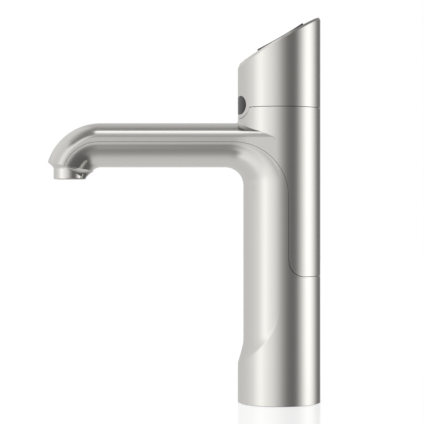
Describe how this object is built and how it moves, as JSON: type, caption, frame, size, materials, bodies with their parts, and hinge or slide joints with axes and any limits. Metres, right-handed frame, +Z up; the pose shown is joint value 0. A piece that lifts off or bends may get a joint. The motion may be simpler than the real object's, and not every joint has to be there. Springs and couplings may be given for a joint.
{
  "type": "boiling water tap",
  "caption": "Brushed nickel kitchen tap for boiling and chilled water: round column, broad flat spout, slanted black control face and indicator window.",
  "frame": {"origin": "on the column's axis in the worktop plane, midway between the two fixing studs' holes", "axes": "+Z up along the column, -X along the spout towards the nozzle, Y across the tap"},
  "size_m": [0.1978, 0.06, 0.2795],
  "materials": {
    "nickel_casting": "brushed nickel, lacquered",
    "nickel_shell": "brushed nickel, lacquered",
    "nickel_head": "brushed nickel, lacquered",
    "nickel_nozzle": "brushed nickel, lacquered",
    "fascia": "gloss black",
    "lens": "smoked, gloss",
    "button_gloss": "gloss black",
    "lock_gloss": "gloss red",
    "seal_rubber": "matt black",
    "sleeve_rubber": "matt foam",
    "lead_rubber": "matt",
    "circuit_board": "green solder mask",
    "lamp_plastic": "satin white",
    "guide_plastic": "clear, milky",
    "switch_plastic": "satin",
    "ring_plastic": "moulded",
    "carrier_plastic": "moulded",
    "insert_plastic": "moulded",
    "socket_plastic": "moulded",
    "screw_steel": "stainless",
    "spring_steel": "stainless wire",
    "tube_steel": "stainless",
    "brass_parts": "machined"
  },
  "bodies": {
    "tap": {"front_casting": "nickel_casting", "rear_shell": "nickel_shell", "head_housing": "nickel_head", "nozzle": "nickel_nozzle", "control_fascia": "fascia", "indicator_lens": "lens", "window_gasket": "seal_rubber", "indicator_board": "circuit_board", "indicator_leds": "lamp_plastic", "head_ring": "ring_plastic", "head_gasket": "seal_rubber", "head_screws": "screw_steel", "shell_screws": "screw_steel", "board_screws": "screw_steel", "plate_screws": "screw_steel", "button_carrier": "carrier_plastic", "control_board": "circuit_board", "tact_switches": "switch_plastic", "light_guides": "guide_plastic", "boiling_spring": "spring_steel", "chilled_spring": "spring_steel", "lock_spring": "spring_steel", "boiling_tube": "tube_steel", "chilled_tube": "tube_steel", "vent_tube": "tube_steel", "boiling_sleeve": "sleeve_rubber", "tube_clip": "carrier_plastic", "outlet_manifold": "brass_parts", "manifold_seal": "seal_rubber", "flow_straightener": "insert_plastic", "control_lead": "lead_rubber", "lead_plug": "lamp_plastic", "lead_socket": "socket_plastic", "mounting_plate": "brass_parts", "inlet_seals": "seal_rubber", "foot_seal": "seal_rubber"},
    "boiling_press": {"boiling_button": "button_gloss"},
    "chilled_press": {"chilled_button": "button_gloss"},
    "lock_press": {"lock_button": "lock_gloss"}
  },
  "joints": [
    {"name": "boiling_button_press", "type": "slide", "parent": "tap", "child": "boiling_press", "axis": [0.5045, 0, -0.8634], "range_m": [0, 0.001], "stiffness_N_per_m": 1200, "springref_m": -0.0012, "deforming": ["boiling_spring"]},
    {"name": "chilled_button_press", "type": "slide", "parent": "tap", "child": "chilled_press", "axis": [0.5045, 0, -0.8634], "range_m": [0, 0.001], "stiffness_N_per_m": 1200, "springref_m": -0.0012, "deforming": ["chilled_spring"]},
    {"name": "lock_button_press", "type": "slide", "parent": "tap", "child": "lock_press", "axis": [0.5045, 0, -0.8634], "range_m": [0, 0.001], "stiffness_N_per_m": 800, "springref_m": -0.0012, "deforming": ["lock_spring"]}
  ]
}
